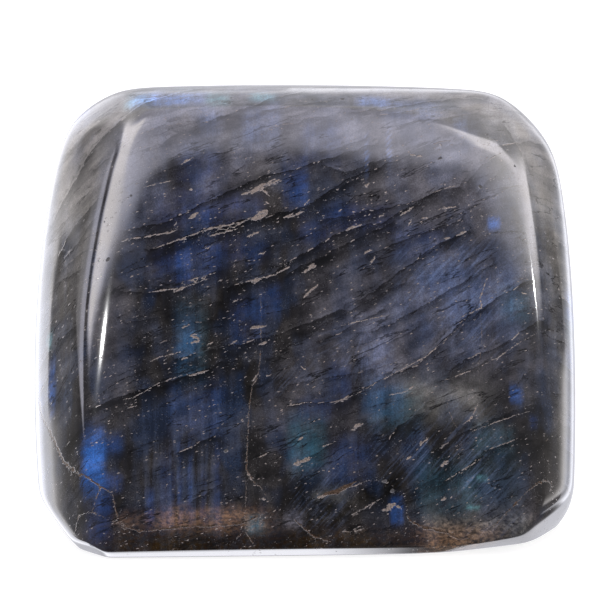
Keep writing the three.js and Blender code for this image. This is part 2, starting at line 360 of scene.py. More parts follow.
# The sides, top and back go on with lines and flashes like those of the front, drawn by chance, in
# millimetres as the clouds are. LOWEST_HIDDEN keeps the lines above the front face, and BED_RISE is
# how fast they rise to the right. CORNER_LINE goes on from the top right corner to the side.
HIDDEN_SEED = 11
HIDDEN_LEVELS = np.arange(99.0, 158.0, 4.5)
LOWEST_HIDDEN = 98.0
HIDDEN_FLASHES = 80
BED_RISE = 0.42
SIDE_LEVELS = np.arange(18.0, 112.0, 6.0)
SIDE_LINE_X = 54.5
SIDE_FLASH_X = 54.8
CORNER_LINE = (1.2, 0.7, [(38, 84), (50, 92), (54, 99)])


def hidden_lines():
    chance = np.random.default_rng(HIDDEN_SEED)
    lines = [CORNER_LINE]
    for level in HIDDEN_LEVELS:
        start = max(chance.uniform(-58, -10), (LOWEST_HIDDEN - level) / BED_RISE)
        xs = np.arange(start, start + chance.uniform(35, 80), 8.0)
        levels = level + BED_RISE * xs + chance.normal(0, 0.4, len(xs))
        path = list(zip(xs.tolist(), levels.tolist()))
        lines.append((chance.uniform(0.8, 2.0), chance.uniform(0.6, 1.0), path))
    for middle in (-SIDE_LINE_X, SIDE_LINE_X):
        for level in SIDE_LEVELS + chance.normal(0, 1, len(SIDE_LEVELS)):
            path = [(middle - 2.5, level - 1), (middle + 2.5, level + 1)]
            lines.append((chance.uniform(0.8, 2.0), chance.uniform(0.5, 1.0), path))
    return lines


def hidden_flashes():
    chance = np.random.default_rng(HIDDEN_SEED + 1)
    flashes = []
    for _ in range(HIDDEN_FLASHES):
        size = chance.uniform((1.2, 2.5), (6.0, 8.0))
        tint = chance.choice(["blue", "deep", "deep", "teal", "sky", "bright"])
        place = chance.uniform((-55, 100), (55, 140))
        flashes.append((*place, *size, str(tint), chance.uniform(0.3, 0.9)))
    for middle in (-SIDE_FLASH_X, SIDE_FLASH_X):
        for level in SIDE_LEVELS:
            tint = chance.choice(["blue", "deep", "teal", "bright"])
            size = chance.uniform(1.5, 4.0)
            flashes.append((middle, level, 2.0, size, str(tint), chance.uniform(0.0, 0.8)))
    return flashes


# Shape

def facet_axes(turn, tilt):
    turn, tilt = math.radians(turn), math.radians(tilt)
    normal = np.array([
        math.sin(turn) * math.cos(tilt), -math.cos(turn) * math.cos(tilt), math.sin(tilt)])
    across = np.array([math.cos(turn), math.sin(turn), 0.0])
    return normal, across, np.cross(normal, across)


def outside_facet(points, facet):
    """How far each point lies outside one facet."""
    turn, tilt, at, across_radius, up_radius, _ = facet
    normal, across, up = facet_axes(turn, tilt)
    offset = points - np.array(at, float)
    bulge = (offset @ across) ** 2 / (2 * across_radius) + (offset @ up) ** 2 / (2 * up_radius)
    return offset @ normal + bulge


def rounded_max(a, b, soft):
    if soft == 0:
        return np.maximum(a, b)
    near = np.maximum(soft - np.abs(a - b), 0) / soft
    return np.maximum(a, b) + near ** 3 * soft / 6


def outside(points, facets):
    result = outside_facet(points, facets[0])
    for facet in facets[1:]:
        result = rounded_max(result, outside_facet(points, facet), facet[-1])
    return result


def reach(starts, directions, facets):
    """The distance along each direction at which the surface is met."""
    inner = np.zeros(len(starts))
    outer = np.full(len(starts), SEARCH_REACH)
    for _ in range(SEARCH_STEPS):
        half = (inner + outer) / 2
        beyond = outside(starts + directions * half[:, None], facets) > 0
        outer = np.where(beyond, half, outer)
        inner = np.where(beyond, inner, half)
    return (inner + outer) / 2


def all_facets():
    front = list(FRONT_FACETS.values())
    bevels = []
    for turn, tilt, (x, z), across, up, soft in BEVELS.values():
        start = np.array([[x, 0.0, z]])
        y = -reach(start, np.array([[0.0, -1.0, 0.0]]), front)[0]
        bevels.append((turn, tilt, (x, y, z), across, up, soft))
    return front + bevels + list(BODY_FACETS.values())


def box_grid(cells):
    """Places on the skin of a box, from -1 to 1 each way, and the four-sided cells between them."""
    counts = [n + 1 for n in cells]
    skin = np.zeros(counts, bool)
    skin[[0, -1], :, :] = True
    skin[:, [0, -1], :] = True
    skin[:, :, [0, -1]] = True
    number = np.zeros(counts, int)
    number[skin] = np.arange(skin.sum())
    shares = np.argwhere(skin) / np.array(cells) * 2 - 1
    quads = []
    for axis in range(3):
        for side in (0, -1):
            sheet = np.take(number, side, axis=axis)
            corners = (sheet[:-1, :-1], sheet[1:, :-1], sheet[1:, 1:], sheet[:-1, 1:])
            quad = np.stack(corners, axis=-1).reshape(-1, 4)
            faces_out = (side == -1) != (axis == 1)
            quads.append(quad if faces_out else quad[:, ::-1])
    return shares, np.concatenate(quads)


def crowded(shares):
    """Draws the grid lines closer together towards the edges of each side."""
    return shares * (1 + CROWDING * (1 - shares ** 2))


def unit(vectors):
    lengths = np.linalg.norm(vectors, axis=-1, keepdims=True)
    return vectors / np.maximum(lengths, 1e-9)


def skin_points(shares, facets):
    """Low rows go out level from the upright axis, high rows from the middle of the stone."""
    starts = np.zeros_like(shares)
    starts[:, 2] = MIDDLE_HEIGHT * (1 + np.minimum(shares[:, 2], 0))
    spread = shares.copy()
    spread[:, 2] = np.maximum(shares[:, 2], 0)
    directions = unit(spread * GRID_REACH)
    return starts + directions * reach(starts, directions, facets)[:, None]


def sole_points(shares, facets):
    """Places on the flat sole, between its middle and its outline."""
    out = np.max(np.abs(shares[:, :2]), axis=1)
    directions = shares * GRID_REACH
    directions[:, 2] = 0
    directions = unit(directions)
    lengths = reach(np.zeros_like(directions), directions, facets) * out
    return directions * lengths[:, None]


def stone_surface():
    facets = all_facets()
    shares, quads = box_grid(GRID_CELLS)
    on_sole = shares[:, 2] == -1
    shares = crowded(shares)
    points = skin_points(shares, facets)
    points[on_sole] = sole_points(shares[on_sole], facets)
    return points, quads


def centred(points):
    """Where the points go when the middle of their box is over the origin."""
    middle = (points.min(axis=0) + points.max(axis=0)) / 2
    return points - np.array([middle[0], middle[1], 0.0])


def mesh_object(name, points, quads):
    mesh = bpy.data.meshes.new(name)
    mesh.from_pydata(points.tolist(), [], quads.tolist())
    mesh.validate()
    mesh.update()
    mesh.shade_smooth()
    piece = bpy.data.objects.new(name, mesh)
    bpy.context.collection.objects.link(piece)
    return piece


# Fields: numbers carried by the surface's points, from which the material draws its marks

def stone_places(points):
    """Each point's x, its level among the cleavage planes, and its depth behind the front face."""
    x, y, z = points.T
    depth = y + FRONT_REACH + (FRONT_MIDDLE - z) * math.tan(math.radians(FRONT_LEAN))
    return np.column_stack([x, z + CLEAVAGE_DROP * depth, depth])


def bed_places(places):
    """How far along the cleavage beds each point is, and how far up across them."""
    x, level, depth = places.T
    bed = (level - BED_SLOPE * x - BED_CURVE * x ** 2) * 0.93
    return np.column_stack([x * 1.08 + level * 0.2, bed, depth])


def sight_lines(pixels):
    """The camera's place, and the direction of its sight through each pixel of the photograph."""
    angle = math.radians(CAMERA_HEIGHT_ANGLE)
    away = np.array([0, -math.cos(angle), math.sin(angle)])
    up = np.array([0, math.sin(angle), math.cos(angle)])
    aim = np.array([-AIM_LEFT, 0, AIM_HEIGHT]) / MM
    eye = aim + away * CAMERA_DISTANCE / MM
    across, down = ((np.array(pixels) + 0.5) / PHOTO_SIDE - 0.5).T * FRAME_WIDTH / MM
    targets = aim - down[:, None] * up
    targets[:, 0] += across
    return eye, unit(targets - eye)


def seen_places(pixels):
    """The x and level of what the camera sees of the stone at each pixel."""
    facets = all_facets()
    eye, lines = sight_lines(pixels)
    tries = eye + lines[:, None] * (CAMERA_DISTANCE / MM + SIGHT_STEPS)[:, None]
    gaps = outside(tries.reshape(-1, 3), facets).reshape(len(lines), -1)
    met = np.where(gaps.min(axis=1) < 0, (gaps < 0).argmax(axis=1), gaps.argmin(axis=1))
    inner = tries[np.arange(len(lines)), met]
    seen = inner - lines * reach(inner, -lines, facets)[:, None]
    return stone_places(seen)[:, :2].tolist()


def strokes_on_stone(strokes):
    """The same strokes, with the pixels of their paths turned into places on the stone."""
    places = iter(seen_places([pixel for *_, path in strokes for pixel in path]))
    return [(*values, [next(places) for _ in path]) for *values, path in strokes]


def patches_on_stone(patches):
    """The same patches, with the pixels of their middles turned into places on the stone."""
    places = seen_places([patch[:2] for patch in patches])
    return [(*place, *patch[2:]) for place, patch in zip(places, patches)]


def near_path(flat, path):
    """Offset and distance from the nearest place of a path, how far below it, and how far along."""
    distance = np.full(len(flat), np.inf)
    offset = np.zeros((len(flat), 2))
    below = np.zeros(len(flat))
    along = np.zeros(len(flat))
    for step, (start, end) in enumerate(zip(path[:-1], path[1:])):
        start, line = np.array(start), np.subtract(end, start)
        away = flat - start
        share = np.clip(away @ line / (line @ line), 0, 1)
        drop = (line[1] * away[:, 0] - line[0] * away[:, 1]) / np.hypot(*line)
        away = away - share[:, None] * line
        length = np.hypot(away[:, 0], away[:, 1])
        nearer = length < distance
        distance[nearer] = length[nearer]
        offset[nearer] = away[nearer]
        below[nearer] = drop[nearer]
        along[nearer] = (step + share[nearer]) / (len(path) - 1)
    return offset, distance, below, along


def room_between(line, group):
    """How near a line comes to any line of a group."""
    corners = np.array(line[2], float)
    steps = np.linspace(0, len(corners) - 1, 40)
    along = np.arange(len(corners))
    points = np.column_stack([np.interp(steps, along, corners[:, i]) for i in range(2)])
    return min((near_path(points, path)[1].min() for _, _, path in group), default=np.inf)


def parted(lines):
    """Shares the lines out over two groups, so that close neighbours fall into different ones."""
    groups = ([], [])
    for line in lines:
        first, second = (room_between(line, group) for group in groups)
        groups[int(second > first)].append(line)
    return groups


def cleavage_field(flat, lines):
    """For the nearest line: distance below it, distance from it, its strength, and its dark band."""
    best = np.full(len(flat), np.inf)
    field = np.zeros((len(flat), 4))
    band = np.zeros(len(flat))
    for width, strength, path in lines:
        _, distance, below, _ = near_path(flat, path)
        ends = np.clip(1.6 - (distance - np.abs(below)), 0, 1)
        fall = np.clip(1 - below / (BAND_REACH * width), 0, 1) ** 0.8 * (below > -0.7)
        band = np.maximum(band, strength * fall * ends)
        nearer = distance < best
        best[nearer] = distance[nearer]
        rows = np.column_stack([below, distance, np.full(len(flat), strength)])
        field[nearer, :3] = rows[nearer]
    field[:, 3] = band
    return field


def stroke_field(flat, depth, strokes):
    """For the nearest stroke: offset across and up, its half width there, and distance."""
    best = np.full(len(flat), np.inf)
    field = np.tile([9.0, 9.0, 1.0, 9.0], (len(flat), 1))
    for half_width, path in strokes:
        offset, distance, _, along = near_path(flat, path)
        width = half_width * (1 - 0.7 * (2 * along - 1) ** 4)
        nearer = (distance < best) & (depth < FRONT_DEPTH)
        best[nearer] = distance[nearer]
        field[nearer] = np.column_stack([offset, width, distance])[nearer]
    return field


def chip_strokes():
    """Each chip as a short stroke, with the same half width and path that a seam has."""
    return [(half_width, [(x0, y0), (x1, y1)]) for half_width, x0, y0, x1, y1 in CHIPS]


def pit_strokes():
    """Each pit as a short stroke that rises a little to the right."""
    strokes = []
    for across, down, size in PITS:
        half = size / 2 * PIXELS_PER_MM
        strokes.append((size, [(across - half, down + half / 2), (across + half, down)]))
    return strokes


def patch_field(flat, patches):
    """Each patch's share of cover over every point, with soft upright edges."""
    for x, level, half_across, half_up, tint, strength in patches:
        out = np.abs((flat[:, 0] - x) / half_across) ** 5 + np.abs((flat[:, 1] - level) / half_up) ** 3
        yield tint, strength * np.exp(-0.7 * out)


def tint_field(flat, patches):
    total = np.zeros((len(flat), 3))
    for tint, cover in patch_field(flat, patches):
        total += cover[:, None] * np.array(TINTS[tint])
    return total


def veil_field(flat, patches):
    total = np.zeros((len(flat), 3))
    for kind, cover in patch_field(flat, patches):
        total[:, VEIL_KINDS.index(kind)] += cover
    return total


def store(mesh, name, rows):
    if rows.shape[1] == 4:
        layer = mesh.attributes.new(name, "FLOAT_COLOR", "POINT")
        layer.data.foreach_set("color", rows.astype(np.float32).ravel())
    else:
        layer = mesh.attributes.new(name, "FLOAT_VECTOR", "POINT")
        layer.data.foreach_set("vector", rows.astype(np.float32).ravel())


def add_fields(mesh, points):
    places = stone_places(points)
    flat, depth = places[:, :2], places[:, 2]
    store(mesh, "place", places)
    store(mesh, "bed", bed_places(places))
    lines = strokes_on_stone(CLEAVAGE) + hidden_lines()
    for name, group in zip(CLEAVAGE_GROUPS, parted(lines)):
        store(mesh, name, cleavage_field(flat, group))
    strokes = {"crack": CRACKS, "fill": SEAMS + chip_strokes(), "pit": pit_strokes()}
    for name, drawn in strokes.items():
        store(mesh, name, stroke_field(flat, depth, strokes_on_stone(drawn)))
    store(mesh, "flash", tint_field(flat, patches_on_stone(FLASHES) + hidden_flashes()))
    store(mesh, "cloud", tint_field(flat, CLOUDS))
    store(mesh, "veil", veil_field(flat, VEILS))


# Node trees

class Flow:
    """A number or colour that flows through a node tree, so that sums read as sums."""

    def __init__(self, tree, socket):
        self.tree = tree
        self.socket = socket

    def math(self, operation, *others):
        node = self.tree.nodes.new("ShaderNodeMath")
        node.operation = operation
        for slot, value in zip(node.inputs, (self, *others)):
            feed(self.tree, value, slot)
        return Flow(self.tree, node.outputs[0])

    def __add__(self, other):
        return self.math("ADD", other)

    def __sub__(self, other):
        return self.math("SUBTRACT", other)

    def __mul__(self, other):
        return self.math("MULTIPLY", other)

    def __truediv__(self, other):
        return self.math("DIVIDE", other)

    def __neg__(self):
        return self.math("MULTIPLY", -1)

    def over(self, low, high):
        """Climbs softly from 0 at low to 1 at high."""
        node = self.tree.nodes.new("ShaderNodeMapRange")
        node.interpolation_type = "SMOOTHSTEP"
        feed(self.tree, self, node.inputs["Value"])
        feed(self.tree, low, node.inputs["From Min"])
        feed(self.tree, high, node.inputs["From Max"])
        return Flow(self.tree, node.outputs["Result"])

    def abs(self):
        return self.math("ABSOLUTE")

    def toward(self, other, share):
        """Goes from this value to the other as the share goes from 0 to 1."""
        return self + (-self + other) * share


def feed(tree, value, socket):
    if isinstance(value, Flow):
        tree.links.new(value.socket, socket)
    elif isinstance(value, tuple) and len(value) == 3 and socket.type == "RGBA":
        socket.default_value = (*value, 1.0)
    else:
        socket.default_value = value


class Tree:
    """Shorthand for the nodes that the material and the world use."""

    def __init__(self, tree):
        self.tree = tree

    def varied(self, noise, amount):
        """A factor that swings by the amount either side of 1."""
        return noise.over(0.35, 0.65) * (2 * amount) + (1 - amount)

    def field(self, name):
        node = self.tree.nodes.new("ShaderNodeAttribute")
        node.attribute_name = name
        return node

    def vector(self, name):
        return Flow(self.tree, self.field(name).outputs["Vector"])

    def spot(self):
        """The place on the stone, in millimetres."""
        node = self.tree.nodes.new("ShaderNodeTexCoord")
        return self.vector_math("SCALE", Flow(self.tree, node.outputs["Object"]), scale=1 / MM)

    def parts(self, vector):
        node = self.tree.nodes.new("ShaderNodeSeparateXYZ")
        feed(self.tree, vector, node.inputs[0])
        return [Flow(self.tree, node.outputs[i]) for i in range(3)]

    def joined(self, *values):
        node = self.tree.nodes.new("ShaderNodeCombineXYZ")
        for slot, value in zip(node.inputs, values):
            feed(self.tree, value, slot)
        return Flow(self.tree, node.outputs[0])

    def vector_math(self, operation, first, second=None, scale=None):
        node = self.tree.nodes.new("ShaderNodeVectorMath")
        node.operation = operation
        feed(self.tree, first, node.inputs[0])
        if second is not None:
            feed(self.tree, second, node.inputs[1])
        if scale is not None:
            feed(self.tree, scale, node.inputs["Scale"])
        name = "Value" if operation in ("LENGTH", "DISTANCE", "DOT_PRODUCT") else "Vector"
        return Flow(self.tree, node.outputs[name])

    def stretched(self, vector, sizes):
        """A place counted in units of the given sizes, in millimetres."""
        return self.vector_math("DIVIDE", vector, sizes)

    def noise(self, place, sizes, detail=2.0, roughness=0.5, distortion=0.0, offset=0.0):
        """Noise with waves of the given sizes, and an offset where it has to differ from another."""
        node = self.tree.nodes.new("ShaderNodeTexNoise")
        node.inputs["Scale"].default_value = 1.0
        node.inputs["Detail"].default_value = detail
        node.inputs["Roughness"].default_value = roughness
        node.inputs["Distortion"].default_value = distortion
        vector = self.stretched(place, sizes)
        if offset:
            vector = self.plus(vector, (offset,) * 3)
        feed(self.tree, vector, node.inputs["Vector"])
        return Flow(self.tree, node.outputs["Fac"])

    def shaken(self, vector, size, amount, offset=0.0):
        """The place moved about by noise of the given size, up to about half the amount."""
        node = self.tree.nodes.new("ShaderNodeTexNoise")
        node.inputs["Scale"].default_value = 1.0
        node.inputs["Detail"].default_value = 2.0
        moved = self.plus(self.stretched(vector, (size,) * 3), (offset,) * 3)
        feed(self.tree, moved, node.inputs["Vector"])
        push = self.plus(Flow(self.tree, node.outputs["Color"]), (-0.5,) * 3)
        return self.plus(vector, self.tinted(push, amount))

    def cells(self, vector):
        """Scattered points: the distance to the nearest one and a random number of its own."""
        node = self.tree.nodes.new("ShaderNodeTexVoronoi")
        node.inputs["Scale"].default_value = 1.0
        feed(self.tree, vector, node.inputs["Vector"])
        chance = self.parts(Flow(self.tree, node.outputs["Color"]))[0]
        return Flow(self.tree, node.outputs["Distance"]), chance

    def tinted(self, colour, strength):
        return self.vector_math("SCALE", colour, scale=strength)

    def plus(self, first, second):
        return self.vector_math("ADD", first, second)

    def blended(self, first, second, share):
        node = self.tree.nodes.new("ShaderNodeMix")
        node.data_type = "VECTOR"
        feed(self.tree, share, node.inputs["Factor"])
        feed(self.tree, first, node.inputs[4])
        feed(self.tree, second, node.inputs[5])
        return Flow(self.tree, node.outputs[1])


# Stone material

MATRIX_DARK = (0.0058, 0.0052, 0.0050)
MATRIX_PALE = (0.0220, 0.0200, 0.0190)
MATRIX_BLUE = (0.0004, 0.0050, 0.0160)
# Painted sheen: a pale colour that stands in for the light the polish reflects on the bevels, sides
# and top.
PAINTED_SHEEN = (0.076, 0.071, 0.065)
FILL = (0.140, 0.114, 0.099)
CRACK_FILL = (0.042, 0.027, 0.018)
PIT = (0.008, 0.007, 0.007)
DUST = (0.12, 0.12, 0.125)
VEIL = (0.034, 0.046, 0.078)

# Sizes for noise whose place is already counted in its own units.
UNIT = (1.0, 1.0, 1.0)


def cleavage_shade(kit, bed):
    """How far the stone goes dark below the cleavage lines, and where thin fill lies in them."""
    waver = kit.noise(bed, (3.0, 1.5, 3.0), 1.0) - 0.5
    jag = kit.noise(bed, (0.7, 0.4, 1.0), 2.0, offset=1.0) - 0.5
    patchy = kit.noise(bed, (5.0, 2.0, 6.0), 2.0, offset=7.0)
    ragged = kit.noise(bed, (1.4, 0.4, 1.4), 2.0, offset=14.0)
    lie = kit.noise(bed, (2.6, 6.0, 6.0), 3.0, 0.6, offset=3.0).over(0.57, 0.62)
    cover = (patchy.over(0.30, 0.60) * 0.5 + 0.5) + (ragged - 0.5) * 0.4
    shades, fills = [], []
    for name in CLEAVAGE_GROUPS:
        node = kit.field(name)
        below, distance, strength = kit.parts(Flow(kit.tree, node.outputs["Color"]))
        near = (distance - below.abs()).over(0.85, 0.5)
        smooth = below + waver * 1.2
        below = smooth + jag * 0.45
        above = below.over(-0.9, -0.6) * below.over(0.05, -0.05)
        band = Flow(kit.tree, node.outputs["Alpha"]) * cover * (-above * near + 1.0)
        crease = below.abs().over(0.20, 0.05) * near * strength * patchy.over(0.20, 0.40)
        shades.append(band.math("MAXIMUM", crease * 0.9))
        fills.append((smooth + jag * 0.12 + 0.05).abs().over(0.11, 0.04) * near * strength)
    return shades[0].math("MAXIMUM", shades[1]), fills[0].math("MAXIMUM", fills[1]) * lie


def stroke_mask(kit, name, bed, spot, grain_size, rough, gap):
    """Covers the strokes of one field, with ragged edges and gaps."""
    node = kit.field(name)
    across, up, width = kit.parts(Flow(kit.tree, node.outputs["Color"]))
    distance = Flow(kit.tree, node.outputs["Alpha"])
    first = kit.noise(spot, (grain_size,) * 3, 3.0, 0.65, offset=8.0) - 0.5
    second = kit.noise(spot, (grain_size,) * 3, 3.0, 0.65, offset=28.0) - 0.5
    moved = kit.joined(across + first * rough, up + second * rough, 0.0)
    gaps = kit.noise(bed, (grain_size * 3, grain_size, 2.0), 3.0, 0.6, offset=18.0) - 0.48
    size = kit.vector_math("LENGTH", moved).math("MAXIMUM", distance - 0.45) / width
    return (size + gaps * gap).over(1.1, 0.7)


def dash_mask(kit, bed, mottle):
    """Short splinters of fill that lie along the beds."""
    distance, chance = kit.cells(kit.stretched(kit.shaken(bed, 0.5, 0.5), (1.1, 0.26, 1.0)))
    crowd = mottle.over(0.42, 0.58)
    return distance.over(0.30, 0.18) * (chance + crowd * 0.10).over(0.94, 0.99)


def dust_mask(kit, spot, mottle):
    distance, chance = kit.cells(kit.stretched(kit.shaken(spot, 0.3, 0.3), (0.30, 0.30, 0.30)))
    crowd = mottle.over(0.40, 0.60)
    return distance.over(0.40, 0.12) * (chance + crowd * 0.10).over(0.84, 1.0)


def fissure_shade(kit, bed):
    """Fine dark lines that wander along the beds, in some places only."""
    wander = kit.noise(bed, (20.0, 3.0, 8.0), 5.0, 0.55, offset=40.0)
    shown = kit.noise(bed, (7.0, 3.0, 6.0), 1.0, offset=44.0).over(0.45, 0.60)
    return (wander - 0.5).abs().over(0.022, 0.004) * shown * 0.8


def veil_light(kit, place):
    """Pale streaks inside the stone, one kind after another."""
    fan, slant, upright = kit.parts(kit.vector("veil"))
    x, level, depth = kit.parts(place)
    away_x, away_level = x - FAN_TOP[0], level - FAN_TOP[1]
    angle = away_level.math("ARCTAN2", away_x)
    radius = kit.vector_math("LENGTH", kit.joined(away_x, away_level, 0.0))
    rays_at = kit.joined(angle * 11, radius * 0.15, depth * 0.1)
    rays = kit.noise(rays_at, UNIT, 3.0, 0.6, 0.4, offset=3.0)
    silk_along = x * 0.66 + level * 0.75
    silk_across = level * 0.66 - x * 0.75
    silk_at = kit.joined(silk_along * 0.12, silk_across * 1.7, depth * 0.2)
    silk = kit.noise(silk_at, UNIT, 3.0, 0.6)
    threads = kit.noise(place, (1.1, 16.0, 3.0), 2.0, 0.5, offset=21.0)
    light = fan * rays.over(0.44, 0.72) * 0.6
    light = light + slant * silk.over(0.44, 0.74)
    return light + upright * threads.over(0.30, 0.75) * 0.5


def body_colour(kit, place, bed, mottle, grain):
    """The stone between its cleavage lines: dark matrix, flashes, veils, cloud tones, and painted
    sheen that stands in for light reflected by the polish.
    """
    x, level, depth = kit.parts(place)
    columns = kit.noise(place, (2.8, 50.0, 8.0), 2.0, 0.6)
    stripes = kit.noise(place, (0.60, 16.0, 3.0), 2.0, offset=5.0)
    streaks = kit.noise(bed, (12.0, 2.4, 6.0), 3.0, 0.5, 0.4)
    weave = kit.varied(columns, 0.25) * kit.varied(streaks, 0.18) * kit.varied(grain, 0.22)
    matrix = kit.blended(MATRIX_DARK, MATRIX_PALE, mottle.over(0.35, 0.70))
    blueness = kit.noise(place, (6.0, 11.0, 9.0), 2.0, offset=11.0).over(0.42, 0.60)
    blueness = blueness * (level.over(3, 22) * 0.75 + 0.25)
    matrix = kit.plus(matrix, kit.tinted(MATRIX_BLUE, blueness))
    bands = kit.noise(bed, (24.0, 3.0, 12.0), 3.0, 0.5, 0.5, offset=15.0)
    grit = kit.noise(place, (0.9, 0.6, 0.9), 3.0, 0.65, offset=31.0)
    grit = kit.varied(grit, 0.7).toward(1.0, level.over(8, 20))
    clouds = kit.tinted(
        kit.vector("cloud"), kit.varied(mottle, 0.35) * kit.varied(streaks, 0.25) * grit)
    broken = kit.noise(bed, (4.5, 1.5, 4.5), 3.0, 0.6, offset=51.0).over(0.34, 0.56)
    flashes = kit.tinted(kit.vector("flash"), kit.varied(stripes, 0.16) * (broken * 0.65 + 0.55))
    veils = kit.tinted(VEIL, veil_light(kit, place))
    light = kit.plus(matrix, kit.plus(flashes, veils))
    # Where the painted sheen lies: on the bevels and sides just behind the front face, more of it
    # higher up.
    side = (depth - x * 0.036 - 3.1).over(0.0, 3.5) * depth.over(22, 10)
    side = side * (level.over(26, 54) * 0.35 + level.over(55, 90) * 0.75 + 0.15)
    painted_sheen = kit.tinted(PAINTED_SHEEN, kit.varied(bands, 0.4) * kit.varied(columns, 0.15) * side)
    # Cloud tones, with the painted reflection across the top and the painted sheen.
    haze = kit.tinted(kit.plus(clouds, painted_sheen), kit.varied(grain, 0.16))
    return kit.plus(kit.tinted(light, weave), haze)


def stone_look(kit):
    """The stone's colour, and how much of each place is dull fill, crack or pit."""
    place = kit.vector("place")
    bed = kit.vector("bed")
    spot = kit.spot()
    mottle = kit.noise(spot, (6.0, 6.0, 6.0), 3.0, 0.6, offset=4.0)
    grain = kit.noise(spot, (0.28, 0.28, 0.28), 2.0, offset=6.0)
    colour = body_colour(kit, place, bed, mottle, grain)
    shade, thin_fill = cleavage_shade(kit, bed)
    shade = shade.math("MAXIMUM", fissure_shade(kit, bed))
    colour = kit.tinted(colour, shade * -0.92 + 1.0)
    fill = stroke_mask(kit, "fill", bed, spot, 0.5, 0.7, 5.0)
    fill = fill.math("MAXIMUM", thin_fill).math("MAXIMUM", dash_mask(kit, bed, mottle))
    crack = stroke_mask(kit, "crack", bed, spot, 0.9, 1.0, 3.0)
    colour = kit.blended(colour, kit.tinted(FILL, kit.varied(grain, 0.3)), fill)
    colour = kit.blended(colour, kit.tinted(CRACK_FILL, kit.varied(grain, 0.5)), crack)
    pit = stroke_mask(kit, "pit", bed, spot, 0.5, 0.5, 1.5)
    colour = kit.blended(colour, PIT, pit)
    return kit.blended(colour, DUST, dust_mask(kit, spot, mottle) * 0.5), fill, crack, pit


def make_stone_material():
    material = bpy.data.materials.new("labradorite")
    material.use_nodes = True
    tree = material.node_tree
    shader = tree.nodes["Principled BSDF"]
    kit = Tree(tree)
    colour, fill, crack, pit = stone_look(kit)
    feed(tree, colour, shader.inputs["Base Color"])
    feed(tree, fill * 0.12 + crack * 0.06 + pit * 0.6 + 0.06, shader.inputs["Roughness"])
    shader.inputs["IOR"].default_value = 1.56
    bump = tree.nodes.new("ShaderNodeBump")
    bump.inputs["Distance"].default_value = 0.03 * MM
    feed(tree, -(fill * 0.6 + crack * 0.5 + pit), bump.inputs["Height"])
    tree.links.new(bump.outputs["Normal"], shader.inputs["Normal"])
    return material


# World

# The surroundings as the polish shows them. Headings run from -180 to 180 degrees, 0 towards the
# camera and 90 to the right. BRIM gives how high the dark opening towards the camera reaches at
# each heading, and TENT how bright the cloth above it is.
BRIM = [
    (-120, -40), (-113, -6), (-108, 2), (-103, 5), (-99, 1), (-72, -1), (-64, 1), (-58, 4), (-50, 6),
    (-46, 6), (-41, 7.8), (-37, 9), (-30, 9.3), (-10, 10), (-4, 10.8), (1, 12.2), (6, 11.2),
    (16, 9.4), (30, 8.8), (40, 8.6), (50, 8.0), (58, 7.2), (70, 6), (98, 5.4), (103, 4.6), (106, 3.8),
    (110, 1), (112.5, -4), (114, -16), (122, -25), (130, -40),
]
TENT = [
    (-178, 1.5), (-160, 2.2), (-146, 4.4), (-128, 5.2), (-112, 4.6), (-107, 4), (-103, 1.6),
    (-100, 0.7), (-95, 1.5), (-84, 2.2), (-72, 4.8), (-62, 5.2), (-47, 7.6), (-43, 9.6), (-34, 6.8),
    (-24, 5.2), (-10, 3), (0, 2), (4, 2.8), (10, 4.4), (20, 4.8), (30, 5.4), (40, 6), (56, 7.8),
    (66, 9.6), (83, 10.6), (89, 3.8), (98, 2.2), (104, 1.9), (110, 1.3), (115, 1.5), (120, 2.1),
    (127, 3.1), (136, 4.3), (150, 1.8), (178, 1.5),
]

# How bright the other parts are: the top of the tent, the two windows and the dark gap beside the
# left one, the cloth behind overhead and low down, the papers by the foot, the table and its corner.
ZENITH = 3.1
WINDOW = 10.6
GAP = 0.4
OVERHEAD = 2.0
REAR = 1.0
PAPER = 4.4
TABLE = 4.5
CORNER = 0.1
TENT_TINT = (0.95, 0.94, 1.10)
WINDOW_TINT = (1.03, 0.98, 1.0)
SIDE_TINT = (1.03, 0.99, 0.98)
BACK_TINT = (0.98, 0.985, 1.06)
DIFFUSE_SHARE = 0.35


def by_heading(kit, azimuth, points):
    """A smooth curve through given points, each a heading and a value."""
    values = [value for _, value in points]
    low, high = min(values), max(values)
    node = kit.tree.nodes.new("ShaderNodeFloatCurve")
    curve = node.mapping.curves[0]
    shares = [(heading / 360 + 0.5, (value - low) / (high - low)) for heading, value in points]
    curve.points[0].location = (0, shares[0][1])
    curve.points[1].location = (1, shares[-1][1])
    for share in shares:
        curve.points.new(*share)
    for point in curve.points:
        point.handle_type = "AUTO_CLAMPED"
    node.mapping.update()
    feed(kit.tree, azimuth / 360 + 0.5, node.inputs["Value"])
    return Flow(kit.tree, node.outputs["Value"]) * (high - low) + low


def left_window(azimuth, height):
    """A bright panel whose left edge leans outwards as it rises, with a dark gap beside it."""
    lean = azimuth + (height - 11.5).math("MAXIMUM", 0.0) * 2.0
    panel = lean.over(-51, -44) * azimuth.over(-32, -50) * height.over(42, 34)
    gap = lean.over(-63, -58) * lean.over(-48, -53) * height.over(28, 16)
    return panel, gap


def right_window(azimuth, height):
    lean = azimuth + (height - 22) * 1.2
    return height.over(16, 22) * height.over(41, 34) * azimuth.over(14, 26) * lean.over(76, 64)


